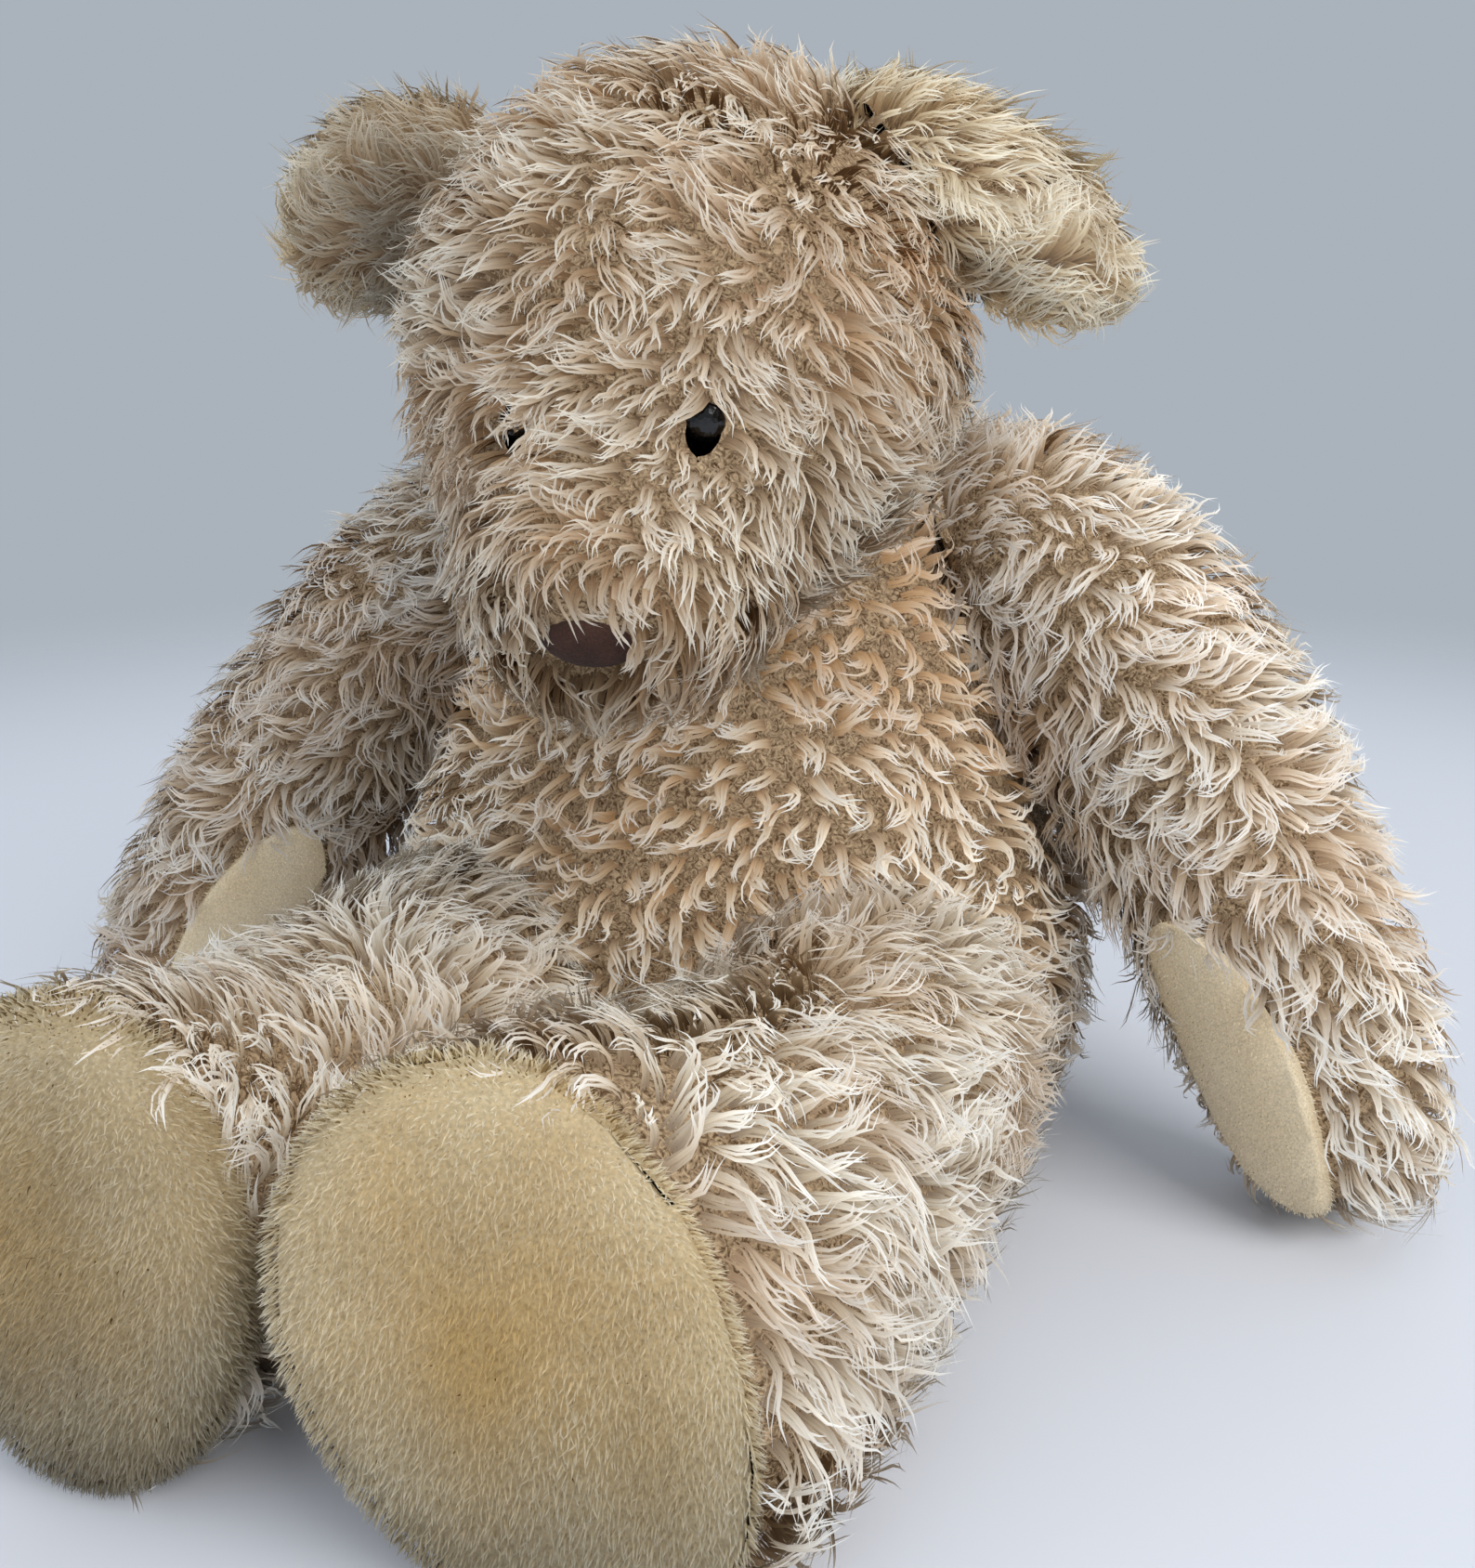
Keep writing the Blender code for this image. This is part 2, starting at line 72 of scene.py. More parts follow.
# How the pile is brushed: x, y, z of a place and the way its tips point there
COMBED = {
    "head": (
        (0.009, -0.147, 0.529, -0.4, 0.2, 0.9),
        (-0.057, -0.196, 0.447, -0.9, -0.3, -0.1),
        (0.01, -0.204, 0.47, -0.9, -0.3, -0.1),
        (0.026, -0.216, 0.434, -0.9, -0.4, -0.2),
        (0.054, -0.205, 0.444, -0.9, -0.4, -0.3),
        (0.06, -0.178, 0.486, -0.8, -0.4, -0.4),
        (0.078, -0.186, 0.459, 0.5, -0.1, -0.8),
        (0.1, -0.18, 0.402, 0.9, 0.2, -0.4),
        (0.066, -0.208, 0.414, -0.9, -0.4, -0.3),
        (0.019, -0.227, 0.4, -0.1, -0.3, -0.9),
        (-0.037, -0.226, 0.365, -0.9, -0.4, -0.3),
        (0.003, -0.239, 0.374, -0.2, -0.3, -0.9),
        (0.027, -0.259, 0.34, 0.1, -0.3, -1),
        (-0.027, -0.243, 0.303, -0.5, -0.4, -0.8),
        (0.052, -0.246, 0.308, 0.2, -0.2, -1),
        (0.07, -0.23, 0.332, 0.8, 0.1, -0.6),
        (0.1, -0.174, 0.365, 0.9, 0.2, -0.2),
        (0.129, -0.083, 0.402, 0.9, 0.3, -0.2),
        (0.122, -0.142, 0.429, 0.9, 0.2, -0.3),
        (-0.021, -0.219, 0.417, -0.9, -0.4, -0.3),
        (0.007, -0.02, 0.47, 0, 0.3, -1),
        (0.007, 0.02, 0.38, 0, 0, -1),
        (-0.11, -0.1, 0.40, -0.3, 0.4, -0.8),
    ),
    "ear_right": (
        (-0.200, -0.090, 0.490, -1, 0, 0.1),
        (-0.150, -0.090, 0.535, -0.3, 0.1, 1),
        (-0.150, -0.100, 0.448, -0.3, -0.2, -1),
        (-0.155, -0.118, 0.490, -0.8, -0.4, -0.1),
        (-0.110, -0.090, 0.530, 0, 0, 1),
        (-0.120, -0.115, 0.475, -0.4, -0.4, -0.6),
        (-0.150, -0.070, 0.490, -0.7, 0.4, 0.2),
    ),
    "ear_left": (
        (0.095, -0.080, 0.535, 0, 0.1, 1),
        (0.120, -0.105, 0.500, 0.5, -0.1, -0.8),
        (0.155, -0.100, 0.480, 0.7, -0.1, -0.6),
        (0.200, -0.070, 0.460, 0.9, 0.1, -0.3),
        (0.140, -0.095, 0.445, 0.3, -0.4, -0.9),
        (0.185, -0.080, 0.440, 0.6, -0.2, -0.8),
        (0.150, -0.060, 0.515, 0.5, 0.2, 0.9),
        (0.185, -0.055, 0.490, 0.9, 0.2, 0.5),
        (0.130, -0.050, 0.480, 0.6, 0.5, 0.1),
    ),
    "arm_right": (
        (-0.148, -0.048, 0.302, -0.8, -0.4, -0.4),
        (-0.19, -0.041, 0.326, -0.4, -0.4, -0.8),
        (-0.229, -0.064, 0.258, -0.6, -0.4, -0.7),
        (-0.283, -0.077, 0.202, -0.7, -0.4, -0.6),
        (-0.324, -0.094, 0.128, -0.8, -0.4, -0.5),
        (-0.206, -0.059, 0.204, -0.3, -0.4, -0.9),
        (-0.247, -0.072, 0.147, -0.3, -0.4, -0.9),
        (-0.24, 0.06, 0.27, -0.8, 0.1, -0.6),
        (-0.37, -0.02, 0.06, -0.5, 0.3, -0.7),
    ),
    "arm_left": (
        (0.16, -0.008, 0.375, 0.5, 0.4, 0.7),
        (0.199, -0.025, 0.354, 0.9, 0.4, 0.3),
        (0.177, -0.053, 0.324, 0.4, -0.1, -0.9),
        (0.217, -0.057, 0.308, 0.8, 0.1, -0.6),
        (0.262, -0.06, 0.275, 0.9, 0.3, -0.2),
        (0.237, -0.082, 0.233, 0.4, -0.1, -0.9),
        (0.3, -0.076, 0.219, 0.9, 0.2, -0.3),
        (0.282, -0.097, 0.183, 0.8, 0.1, -0.5),
        (0.326, -0.101, 0.144, 0.9, 0.1, -0.5),
        (0.245, -0.09, 0.177, -0.3, -0.4, -0.9),
        (0.222, -0.077, 0.194, -0.7, -0.4, -0.6),
        (0.334, -0.115, 0.092, 0.4, -0.1, -0.9),
        (0.353, -0.113, 0.065, 0.8, 0.1, -0.5),
        (0.191, -0.066, 0.254, -0.4, -0.4, -0.8),
        (0.22, 0.07, 0.28, 0.7, 0.2, -0.7),
        (0.36, -0.03, 0.06, 0.4, 0.4, -0.7),
    ),
    "torso": (
        (-0.082, -0.117, 0.197, -0.8, -0.4, -0.5),
        (-0.131, -0.1, 0.167, -0.9, -0.4, -0.3),
        (-0.038, -0.117, 0.23, -0.7, -0.4, -0.6),
        (0.001, -0.143, 0.168, -0.3, -0.3, -0.9),
        (-0.05, -0.143, 0.138, -0.2, -0.3, -0.9),
        (0.062, -0.109, 0.236, 0.2, -0.2, -1),
        (0.103, -0.086, 0.243, 0.4, -0.1, -0.9),
        (0.141, -0.058, 0.23, 0.8, 0.1, -0.6),
        (0.166, -0.054, 0.181, 0.9, 0.2, -0.4),
        (0.088, -0.116, 0.192, 0.3, -0.2, -0.9),
        (0.035, -0.128, 0.2, -0.1, -0.3, -0.9),
        (0.11, -0.057, 0.299, 0.9, 0.2, -0.4),
        (0.075, -0.072, 0.313, 0.9, 0.3, 0.1),
        (0.122, -0.065, 0.259, 0.7, 0, -0.7),
        (0.132, -0.099, 0.167, 0.6, 0, -0.8),
        (0, 0.13, 0.3, 0, 0.2, -1),
        (0, 0.17, 0.15, 0.1, 0.1, -1),
    ),
    "leg_left": (
        (0.1, -0.144, 0.163, 0.1, 0.3, 0.9),
        (0.104, -0.251, 0.164, -0.9, -0.4, -0.3),
        (0.153, -0.211, 0.153, 0.9, 0.2, -0.2),
        (0.179, -0.093, 0.122, 1, 0.3, -0.1),
        (0.188, -0.224, 0.114, 0.9, 0.2, -0.4),
        (0.121, -0.345, 0.147, 0.7, 0, -0.7),
        (0.141, -0.322, 0.138, 0.9, 0.2, -0.4),
        (0.162, -0.321, 0.105, 0.9, 0.2, -0.4),
        (0.135, -0.36, 0.113, 0.7, 0, -0.7),
        (0.172, -0.292, 0.048, 0.9, 0.2, -0.3),
        (0.094, -0.365, 0.16, 0.4, 0.4, 0.8),
        (0.125, -0.385, 0.098, 0.2, -0.9, 0.4),
        (0.100, -0.392, 0.150, -0.1, -0.9, 0.3),
        (0.050, -0.398, 0.190, -0.4, -0.9, 0.0),
        (0.000, -0.400, 0.180, -0.5, -0.8, 0.2),
        (0.138, -0.372, 0.045, 0.2, -0.9, 0.2),
        (0.133, -0.362, 0.032, 0.9, 0.2, -0.2),
        (0.074, -0.328, 0.174, -0.4, 0.1, 0.9),
        (0.064, -0.355, 0.178, 0.1, 0.3, 0.9),
        (0, -0.36, 0.1, -0.5, 0.8, -0.3),
    ),
    "leg_right": (
        (-0.078, -0.188, 0.151, 0.2, 0.3, 0.9),
        (-0.086, -0.259, 0.15, -0.9, -0.3, -0.1),
        (-0.081, -0.314, 0.149, -0.9, -0.1, 0.5),
        (-0.103, -0.341, 0.169, -0.6, 0, 0.8),
        (-0.116, -0.365, 0.182, -0.2, 0.2, 1),
        (-0.110, -0.400, 0.185, 0.1, -0.9, 0.1),
        (-0.065, -0.400, 0.150, 0.4, -0.8, 0.2),
        (-0.048, -0.191, 0.127, 0.9, 0.2, -0.4),
        (-0.036, -0.177, 0.108, 0.9, 0.2, -0.3),
        (-0.06, -0.36, 0.09, 0.5, 0.7, -0.3),
        (-0.19, -0.3, 0.1, -0.5, 0.6, -0.5),
    ),
}
COMB_REACH = 0.045
# How the brushed way turns from place to place: radians, size of the swings and seed
COMB_DRIFTS = ((0.5, 0.045, 5), (0.45, 0.02, 6), (0.4, 0.011, 9))
COMB_SPREAD = 0.22

# Locks, length, width, S-wave (radians), tip curl (radians), how far the tips stand over the CAD surface
PILE = {
    "head": (4700, 0.027, 0.0022, 0.65, 0.8, 0.0130),
    "torso": (4300, 0.028, 0.0026, 0.85, 1.3, 0.0110),
    "arm_left": (3100, 0.030, 0.0021, 0.65, 0.9, 0.0140),
    "arm_right": (3100, 0.030, 0.0021, 0.65, 0.9, 0.0140),
    "leg_left": (3550, 0.030, 0.0021, 0.60, 1.0, 0.0140),
    "leg_right": (3500, 0.030, 0.0021, 0.60, 1.0, 0.0140),
    "ear_left": (1400, 0.030, 0.0020, 0.55, 0.7, 0.0160),
    "ear_right": (1450, 0.030, 0.0019, 0.55, 0.7, 0.0170),
}


def unit(v):
    """Vectors along the last axis, made one long."""
    return v / np.maximum(np.linalg.norm(v, axis=-1, keepdims=True), 1e-9)


def upon(v, normal):
    """The part of each vector that lies in the plane across its normal, one long."""
    return unit(v - normal * (v * normal).sum(-1, keepdims=True))


WAVES = 6
WAVE_LENGTHS = (1.4, 2.6)
WAVES_HIGH = 2.6  # brings the sum of the waves to about -1 to 1


def drift(places, size, seed):
    """A smooth random number from about -1 to 1 at each place, whose swings are about that size."""
    waves = np.random.default_rng(seed)
    total = np.zeros(places.shape[:-1])
    for _ in range(WAVES):
        way = unit(waves.normal(size=3)) * 2 * math.pi / (size * waves.uniform(*WAVE_LENGTHS))
        total += np.sin(places @ way + waves.uniform(0, 2 * math.pi))
    return total / WAVES_HIGH


class Surface:
    """Faces of CAD nodes as one smooth skin."""

    def __init__(self, *names):
        points, faces, start = [], [], 0
        for name in names:
            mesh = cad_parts[name].data
            mesh.calc_loop_triangles()
            co = np.empty(len(mesh.vertices) * 3, np.float32)
            mesh.vertices.foreach_get("co", co)
            corners = np.empty(len(mesh.loop_triangles) * 3, np.int32)
            mesh.loop_triangles.foreach_get("vertices", corners)
            points.append(co.reshape(-1, 3))
            faces.append(corners.reshape(-1, 3) + start)
            start += len(mesh.vertices)
        points = np.concatenate(points).astype(float)
        faces = np.concatenate(faces)
        rounded = np.round(points, WELD_DIGITS)
        _, first, joined = np.unique(rounded, axis=0, return_index=True, return_inverse=True)
        self.points = points[first]
        self.faces = joined.reshape(-1)[faces]
        self.settle()

    def settle(self):
        """Works out the areas, normals and search tree from the points and faces."""
        corners = self.points[self.faces]
        across = np.cross(corners[:, 1] - corners[:, 0], corners[:, 2] - corners[:, 0])
        self.area = np.linalg.norm(across, axis=1) / 2
        self.flat = unit(across)
        normals = np.zeros_like(self.points)
        for c in range(3):
            np.add.at(normals, self.faces[:, c], across)
        around = normals[self.faces].sum(1)
        eased = 2 * normals
        for c in range(3):
            np.add.at(eased, self.faces[:, c], around * EASE)
        self.normals = unit(eased)
        self.tree = BVHTree.FromPolygons(self.points.tolist(), self.faces.tolist())

    def keep(self, wanted):
        """Leaves only some of the faces, and none with two corners in one place."""
        a, b, c = self.faces.T
        self.faces = self.faces[wanted & (a != b) & (b != c) & (c != a)]
        used, joined = np.unique(self.faces, return_inverse=True)
        self.points = self.points[used]
        self.faces = joined.reshape(-1, 3)
        self.settle()
        return self

    def hem(self, depth):
        """Adds a band along the open rim that runs back into the pile of the limb behind it."""
        facing = unit((self.flat * self.area[:, None]).sum(0))
        sides = [tuple(e) for e in self.faces[:, [[0, 1], [1, 2], [2, 0]]].reshape(-1, 2).tolist()]
        known = set(sides)
        rim = np.array([e for e in sides if e[::-1] not in known])
        used, joined = np.unique(rim, return_inverse=True)
        start, end = (joined.reshape(-1, 2) + len(self.points)).T
        outward = upon(self.points[used] - self.points.mean(0), facing[None])
        back = self.points[used] - facing * depth - outward * depth * HEM_IN
        inner, outer = (np.stack(c, 1) for c in ((rim[:, 1], rim[:, 0], start), (rim[:, 1], start, end)))
        self.points = np.concatenate((self.points, back))
        self.faces = np.concatenate((self.faces, inner, outer))
        self.settle()

    def rounded(self, face, share):
        """Points and normals inside faces, on a surface that is as round as the normals say."""
        corners = self.points[self.faces[face]]
        normals = self.normals[self.faces[face]]
        flat = (corners * share[..., None]).sum(1)
        lift = ((corners - flat[:, None]) * normals).sum(-1, keepdims=True) * normals
        place = flat + ROUNDNESS * (lift * share[..., None]).sum(1)
        return place, unit((normals * share[..., None]).sum(1))

    def nearest(self, places):
        """The nearest point of the skin to each place, with its normal and face."""
        hits = [self.tree.find_nearest(p) for p in places.tolist()]
        face = np.array([h[2] for h in hits])
        at = np.array([h[0][:] for h in hits])
        a, b, c = (self.points[self.faces[face, i]] for i in range(3))
        whole = np.cross(b - a, c - a)
        size = np.maximum((whole * whole).sum(1), 1e-18)
        share = np.stack(
            [
                (np.cross(b - at, c - at) * whole).sum(1) / size,
                (np.cross(c - at, a - at) * whole).sum(1) / size,
                (np.cross(a - at, b - at) * whole).sum(1) / size,
            ],
            1,
        ).clip(0, 1)
        place, normal = self.rounded(face, share / share.sum(1, keepdims=True))
        return place, normal, face


def ray_fan(count):
    """Directions spread evenly over half a sphere, down to near its rim."""
    turn = np.arange(count) * math.pi * (3 - math.sqrt(5))
    rise = 1 - (np.arange(count) + 0.5) / count * FAN_DEPTH
    flat = np.sqrt(1 - rise**2)
    return np.stack([flat * np.cos(turn), flat * np.sin(turn), rise], 1)


def openness(tree, places, normals, reach, count=12):
    """The share of rays from each place that meet nothing of the tree within reach."""
    along_x = np.abs(normals[:, :1]) > 0.8
    side = unit(np.cross(normals, np.where(along_x, [[0, 1, 0]], [[1, 0, 0]])))
    other = np.cross(normals, side)
    free = np.zeros(len(places))
    starts = (places + normals * RAY_START).tolist()
    for d in ray_fan(count):
        ways = (side * d[0] + other * d[1] + normals * d[2]).tolist()
        free += [tree.ray_cast(p, w, reach)[0] is None for p, w in zip(starts, ways)]
    return free / count


OUTSIDE = 0.24       # a face is outside when this share of its rays gets away
OUTSIDE_HEAD = 0.6   # the same for the head's faces
OUTSIDE_REACH = 0.5


def outer_skin(name):
    """The outer faces of a CAD node, without those round its hollow."""
    skin = Surface(name)
    middle = skin.points[skin.faces].mean(1)
    least = OUTSIDE_HEAD if name == "head" else OUTSIDE
    return skin.keep(openness(skin.tree, middle, skin.flat, OUTSIDE_REACH) > least)


everything = Surface(*[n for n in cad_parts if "stuffing" not in n and "washer" not in n])
SKINS = {name: outer_skin(name) for name in PILE}
PAD_OPEN = 0.2       # the front faces of a pad are at least this open
PAD_OPEN_REACH = 0.3
PAD_FACING = 0.1     # and look at least this much the way that the pad faces


def pad_skin(name):
    """The front faces of a pad, without those that lie on its limb."""
    skin = Surface(name)
    middle = skin.points[skin.faces].mean(1)
    free = openness(everything.tree, middle, skin.flat, PAD_OPEN_REACH)
    facing = unit((skin.flat * (skin.area * free**3)[:, None]).sum(0))
    return skin.keep((free > PAD_OPEN) & (skin.flat @ facing > PAD_FACING))


PAD_NAMES = ("foot_pad_left", "foot_pad_right", "paw_pad_left", "paw_pad_right")
PADS = {name: pad_skin(name) for name in PAD_NAMES}
ROOTS_APART = 0.74   # least gap between roots, as a share of the gap in an even grid
ROOM_REACH = 0.03    # how far round a root its openness is tested


def scattered(skin, count, hidden_below=0.13):
    """Evenly scattered roots on a skin: places, normals and openness, none where a part lies on it."""
    picks = rng.choice(len(skin.faces), count * 3, p=skin.area / skin.area.sum())
    share = rng.dirichlet((1, 1, 1), len(picks))
    place, normal = skin.rounded(picks, share)
    apart = math.sqrt(skin.area.sum() / count) * ROOTS_APART
    cell = np.floor(place / apart).astype(int).tolist()
    taken, kept = {}, []
    points = place.tolist()
    for i, (x, y, z) in enumerate(cell):
        p = points[i]
        near = False
        for a in (x - 1, x, x + 1):
            for b in (y - 1, y, y + 1):
                for c in (z - 1, z, z + 1):
                    for q in taken.get((a, b, c), ()):
                        gap = (p[0] - q[0]) ** 2 + (p[1] - q[1]) ** 2 + (p[2] - q[2]) ** 2
                        if gap < apart * apart:
                            near = True
                            break
        if not near:
            taken.setdefault((x, y, z), []).append(p)
            kept.append(i)
            if len(kept) == count:
                break
    place, normal = place[kept], normal[kept]
    free = openness(everything.tree, place, normal, ROOM_REACH)
    seen = free > hidden_below
    return place[seen], normal[seen], free[seen]


def combed(name, place, normal):
    """The way the pile lies at each place."""
    rows = np.array(COMBED[name])
    gap = np.linalg.norm(place[:, None] - rows[None, :, :3], axis=2)
    weight = np.exp(-((gap / COMB_REACH) ** 2) / 2) + 1e-5 / (gap + 0.02)
    way = upon((weight[..., None] * rows[None, :, 3:]).sum(1), normal)
    turn = sum(much * drift(place, size, seed) for much, size, seed in COMB_DRIFTS)
    turn = turn + rng.normal(0, COMB_SPREAD, len(place))
    return unit(way * np.cos(turn)[:, None] + np.cross(normal, way) * np.sin(turn)[:, None])


TURNS = (0.6, 1.05)    # waves along a strand
BEND_MOST = 1.6        # how much a strand's bend differs from that of its part
LOOSE = 0.35           # share of the strands that hug the skin less, and how much each kind does
LOOSE_HUG = 0.45
CLOSE_HUG = 0.85
FIRST_PACE = 0.55      # length of the first segment, against that of the others


def grown(skin, place, normal, way, length, wave, curl):
    """Centrelines along a skin: places and normals, one more than STEPS to a strand."""
    count = len(place)
    phase = 2.6 * math.pi * drift(place, 0.03, 7) + rng.normal(0, 0.5, count)
    turns = rng.uniform(*TURNS, count)
    curled = BEND_MOST * drift(place, 0.035, 8) + rng.normal(0, 0.45, count)
    bend = curl * np.clip(curled, -BEND_MOST, BEND_MOST)
    places, normals = [place], [normal]
    here, up, ahead = place, normal, way
    hug = np.where(rng.uniform(0, 1, count) < LOOSE, LOOSE_HUG, CLOSE_HUG)[:, None]
    for k in range(1, STEPS + 1):
        s = k / STEPS
        turn = wave * np.sin(2 * math.pi * turns * s + phase) * min(1, 0.4 + s) + bend * s**1.6
        side = np.cross(up, ahead)
        heading = ahead * np.cos(turn)[:, None] + side * np.sin(turn)[:, None]
        pace = length / STEPS * (FIRST_PACE if k == 1 else 1.0)
        goal = here + heading * pace[:, None]
        on, toward, _ = skin.nearest(goal)
        here = goal + (on - goal) * hug
        up = unit(up * 0.5 + toward * 0.5)
        ahead = upon(ahead, up)
        places.append(here)
        normals.append(up)
    return smoothed(np.stack(places, 1)), np.stack(normals, 1)


def smoothed(paths):
    """The paths with their inner points drawn towards their neighbours, so that bends are round."""
    eased = paths.copy()
    eased[:, 1:-1] = (paths[:, :-2] + 3 * paths[:, 1:-1] + paths[:, 2:]) / 5
    return eased


CHUNK = 2000  # strands compared with the leaders at one time


def gathered(place, paths, spacing, pull):
    """Draws strands towards the nearest leading strand, more at their tips. Also gives their leaders."""
    cells = {}
    for i, c in enumerate(np.floor(place / spacing).astype(int).tolist()):
        cells.setdefault(tuple(c), i)
    leaders = np.array(sorted(cells.values()))
    leader = np.empty(len(place), int)
    for start in range(0, len(place), CHUNK):
        gap = ((place[start : start + CHUNK, None] - place[leaders][None]) ** 2).sum(2)
        leader[start : start + CHUNK] = leaders[gap.argmin(1)]
    return paths + (paths[leader] - paths) * pull * ALONG[..., None] ** 1.2, leader


ROOT_WIDTH = 0.6  # a strand's width at its root, and how fast it widens from there
WIDENS = 2.4


def strand_mesh(name, centre, normals, width, tip_share, roll, along, marks):
    """Flat strands as one mesh. marks are per-strand numbers for the material, by name."""
    count, rings = centre.shape[:2]
    tangent = unit(np.gradient(centre, axis=1))
    side = unit(np.cross(normals, tangent))
    face = np.cross(tangent, side)
    across = side * np.cos(roll)[:, None, None] + face * np.sin(roll)[:, None, None]
    s = along[None, :]
    widening = ROOT_WIDTH + (1 - ROOT_WIDTH) * np.sin(np.clip(s * WIDENS, 0, 1) * math.pi / 2)
    profile = widening * (1 - (1 - tip_share) * s**1.7)
    half = across * (width[:, None] * profile)[..., None] / 2
    left, right = centre - half, centre + half
    points = np.empty((count, rings * 2 - 1, 3))
    points[:, 0:-1:2] = left[:, :-1]
    points[:, 1::2] = right[:, :-1]
    points[:, -1] = centre[:, -1]
    base = np.arange(count)[:, None, None] * (rings * 2 - 1)
    ladder = []
    for k in range(rings - 2):
        a = 2 * k
        ladder += [(a + 1, a, a + 2), (a + 1, a + 2, a + 3)]
    last = 2 * (rings - 2)
    ladder.append((last + 1, last, last + 2))
    faces = (base + np.array(ladder)[None]).reshape(-1, 3)
    sideways = np.tile(np.array([0.0, 1.0] * (rings - 1) + [0.5]), count)
    upward = np.tile(np.append(np.repeat(along[:-1], 2), along[-1]), count)
    own = unit(face * np.cos(roll)[:, None, None] - side * np.sin(roll)[:, None, None])
    soft = unit(own * SHARP + normals)
    shading = np.empty_like(points)
    shading[:, 0:-1:2] = soft[:, :-1]
    shading[:, 1::2] = soft[:, :-1]
    shading[:, -1] = soft[:, -1]
    numbers = {"along": upward}
    for key, value in marks.items():
        numbers[key] = np.repeat(value, rings * 2 - 1)
    chart = (sideways, upward)
    return piece_mesh(name, points.reshape(-1, 3), faces, numbers, chart, shading.reshape(-1, 3))


def marked(mesh, numbers):
    """Gives a mesh number attributes, one number to a vertex."""
    for key, value in numbers.items():
        layer = mesh.attributes.new(key, "FLOAT", "POINT")
        layer.data.foreach_set("value", value.astype(np.float32))


def piece_mesh(name, points, faces, numbers, chart, shading):
    """A smooth triangle mesh with number attributes, a chart of its vertices and their normals."""
    points[:, 2] = np.maximum(points[:, 2], FLOOR_CLEAR)
    mesh = bpy.data.meshes.new(name)
    mesh.vertices.add(len(points))
    mesh.vertices.foreach_set("co", points.astype(np.float32).ravel())
    mesh.loops.add(len(faces) * 3)
    mesh.loops.foreach_set("vertex_index", faces.astype(np.int32).ravel())
    mesh.polygons.add(len(faces))
    mesh.polygons.foreach_set("loop_start", np.arange(len(faces), dtype=np.int32) * 3)
    mesh.polygons.foreach_set("use_smooth", np.ones(len(faces), bool))
    marked(mesh, numbers)
    if chart is not None:
        layer = mesh.uv_layers.new(name="Strand")
        pair = np.stack(chart, 1)[faces.ravel()]
        layer.data.foreach_set("uv", pair.astype(np.float32).ravel())
    mesh.update()
    mesh.validate()
    mesh.normals_split_custom_set_from_vertices(shading.tolist())
    made = bpy.data.objects.new(name, mesh)
    bpy.context.scene.collection.objects.link(made)
    return made


# Brown places in the pile, real stains on the chest and painted shade in the right ear's hollow and under
# the left ear: x, y, z, size and strength
STAINS_AND_SHADE = (
    (0.087, -0.065, 0.315, 0.024, 0.9),
    (0.101, -0.078, 0.262, 0.026, 0.45),
    (0.066, -0.091, 0.275, 0.026, 0.5),
    (0.155, -0.060, 0.240, 0.022, 0.3),
    # painted shade: the dark hollow of the right ear
    (-0.130, -0.118, 0.478, 0.028, 1.3),
    # painted shade: the dark fold under the left ear
    (0.100, -0.135, 0.455, 0.022, 0.9),
)
SOIL = 0.24  # how brown the pile is elsewhere, and how that drifts: strength, size and seed
SOIL_DRIFTS = ((0.30, 0.07, 21), (0.26, 0.03, 22))
# painted shade: the right arm takes more of its brown stain colour all over, for the browner look of its
# shaded side
RIGHT_ARM_SHADE_TINT = 0.25


def blot(place, spot, size):
    """A soft round blot: 1 at the spot, falling off over about that size."""
    return np.exp(-((place - spot) ** 2).sum(1) / (2 * size**2))


def tint_and_shade_at(name, place):
    """How much of its stain colour the pile takes at each place, from 0 to 1: soil and stains, and painted
    shade under the ears and on the right arm.
    """
    total = SOIL
    for strength, size, seed in SOIL_DRIFTS:
        total = total + strength * drift(place, size, seed)
    for x, y, z, size, strength in STAINS_AND_SHADE:
        total = total + strength * blot(place, (x, y, z), size)
    total = total.clip(0, 1)
    # painted shade: the whole right arm is made browner
    if name == "arm_right":
        total = (total + RIGHT_ARM_SHADE_TINT).clip(0, 1)
    return total


def linear(colour):
    """An sRGB colour of 0 to 255 as linear light."""
    made = []
    for c in colour:
        x = min(1.0, c / 255)
        made.append(x / 12.92 if x <= 0.04045 else ((x + 0.055) / 1.055) ** 2.4)
    return made


def new_material(name):
    """A new material, its node tree and its shader."""
    mat = bpy.data.materials.new(name)
    mat.use_nodes = True
    return mat, mat.node_tree, mat.node_tree.nodes["Principled BSDF"]


def link(tree, a, b):
    tree.links.new(a, b)


def attribute(tree, key):
    """The number attribute of a mesh by that name."""
    node = tree.nodes.new("ShaderNodeAttribute")
    node.attribute_name = key
    return node.outputs["Fac"]


def object_places(tree):
    return tree.nodes.new("ShaderNodeTexCoord").outputs["Object"]


def maths(tree, operation, a, b):
    """The result of a Math node on two sockets."""
    node = tree.nodes.new("ShaderNodeMath")
    node.operation = operation
    link(tree, a, node.inputs[0])
    link(tree, b, node.inputs[1])
    return node.outputs[0]


def mapped(tree, value, low, high, start=0.0, end=1.0, smooth=False):
    """A number that runs from low to high while the value runs from start to end."""
    node = tree.nodes.new("ShaderNodeMapRange")
    if smooth:
        node.interpolation_type = "SMOOTHSTEP"
    for key, number in {"From Min": start, "From Max": end, "To Min": low, "To Max": high}.items():
        node.inputs[key].default_value = number
    link(tree, value, node.inputs["Value"])
    return node.outputs[0]


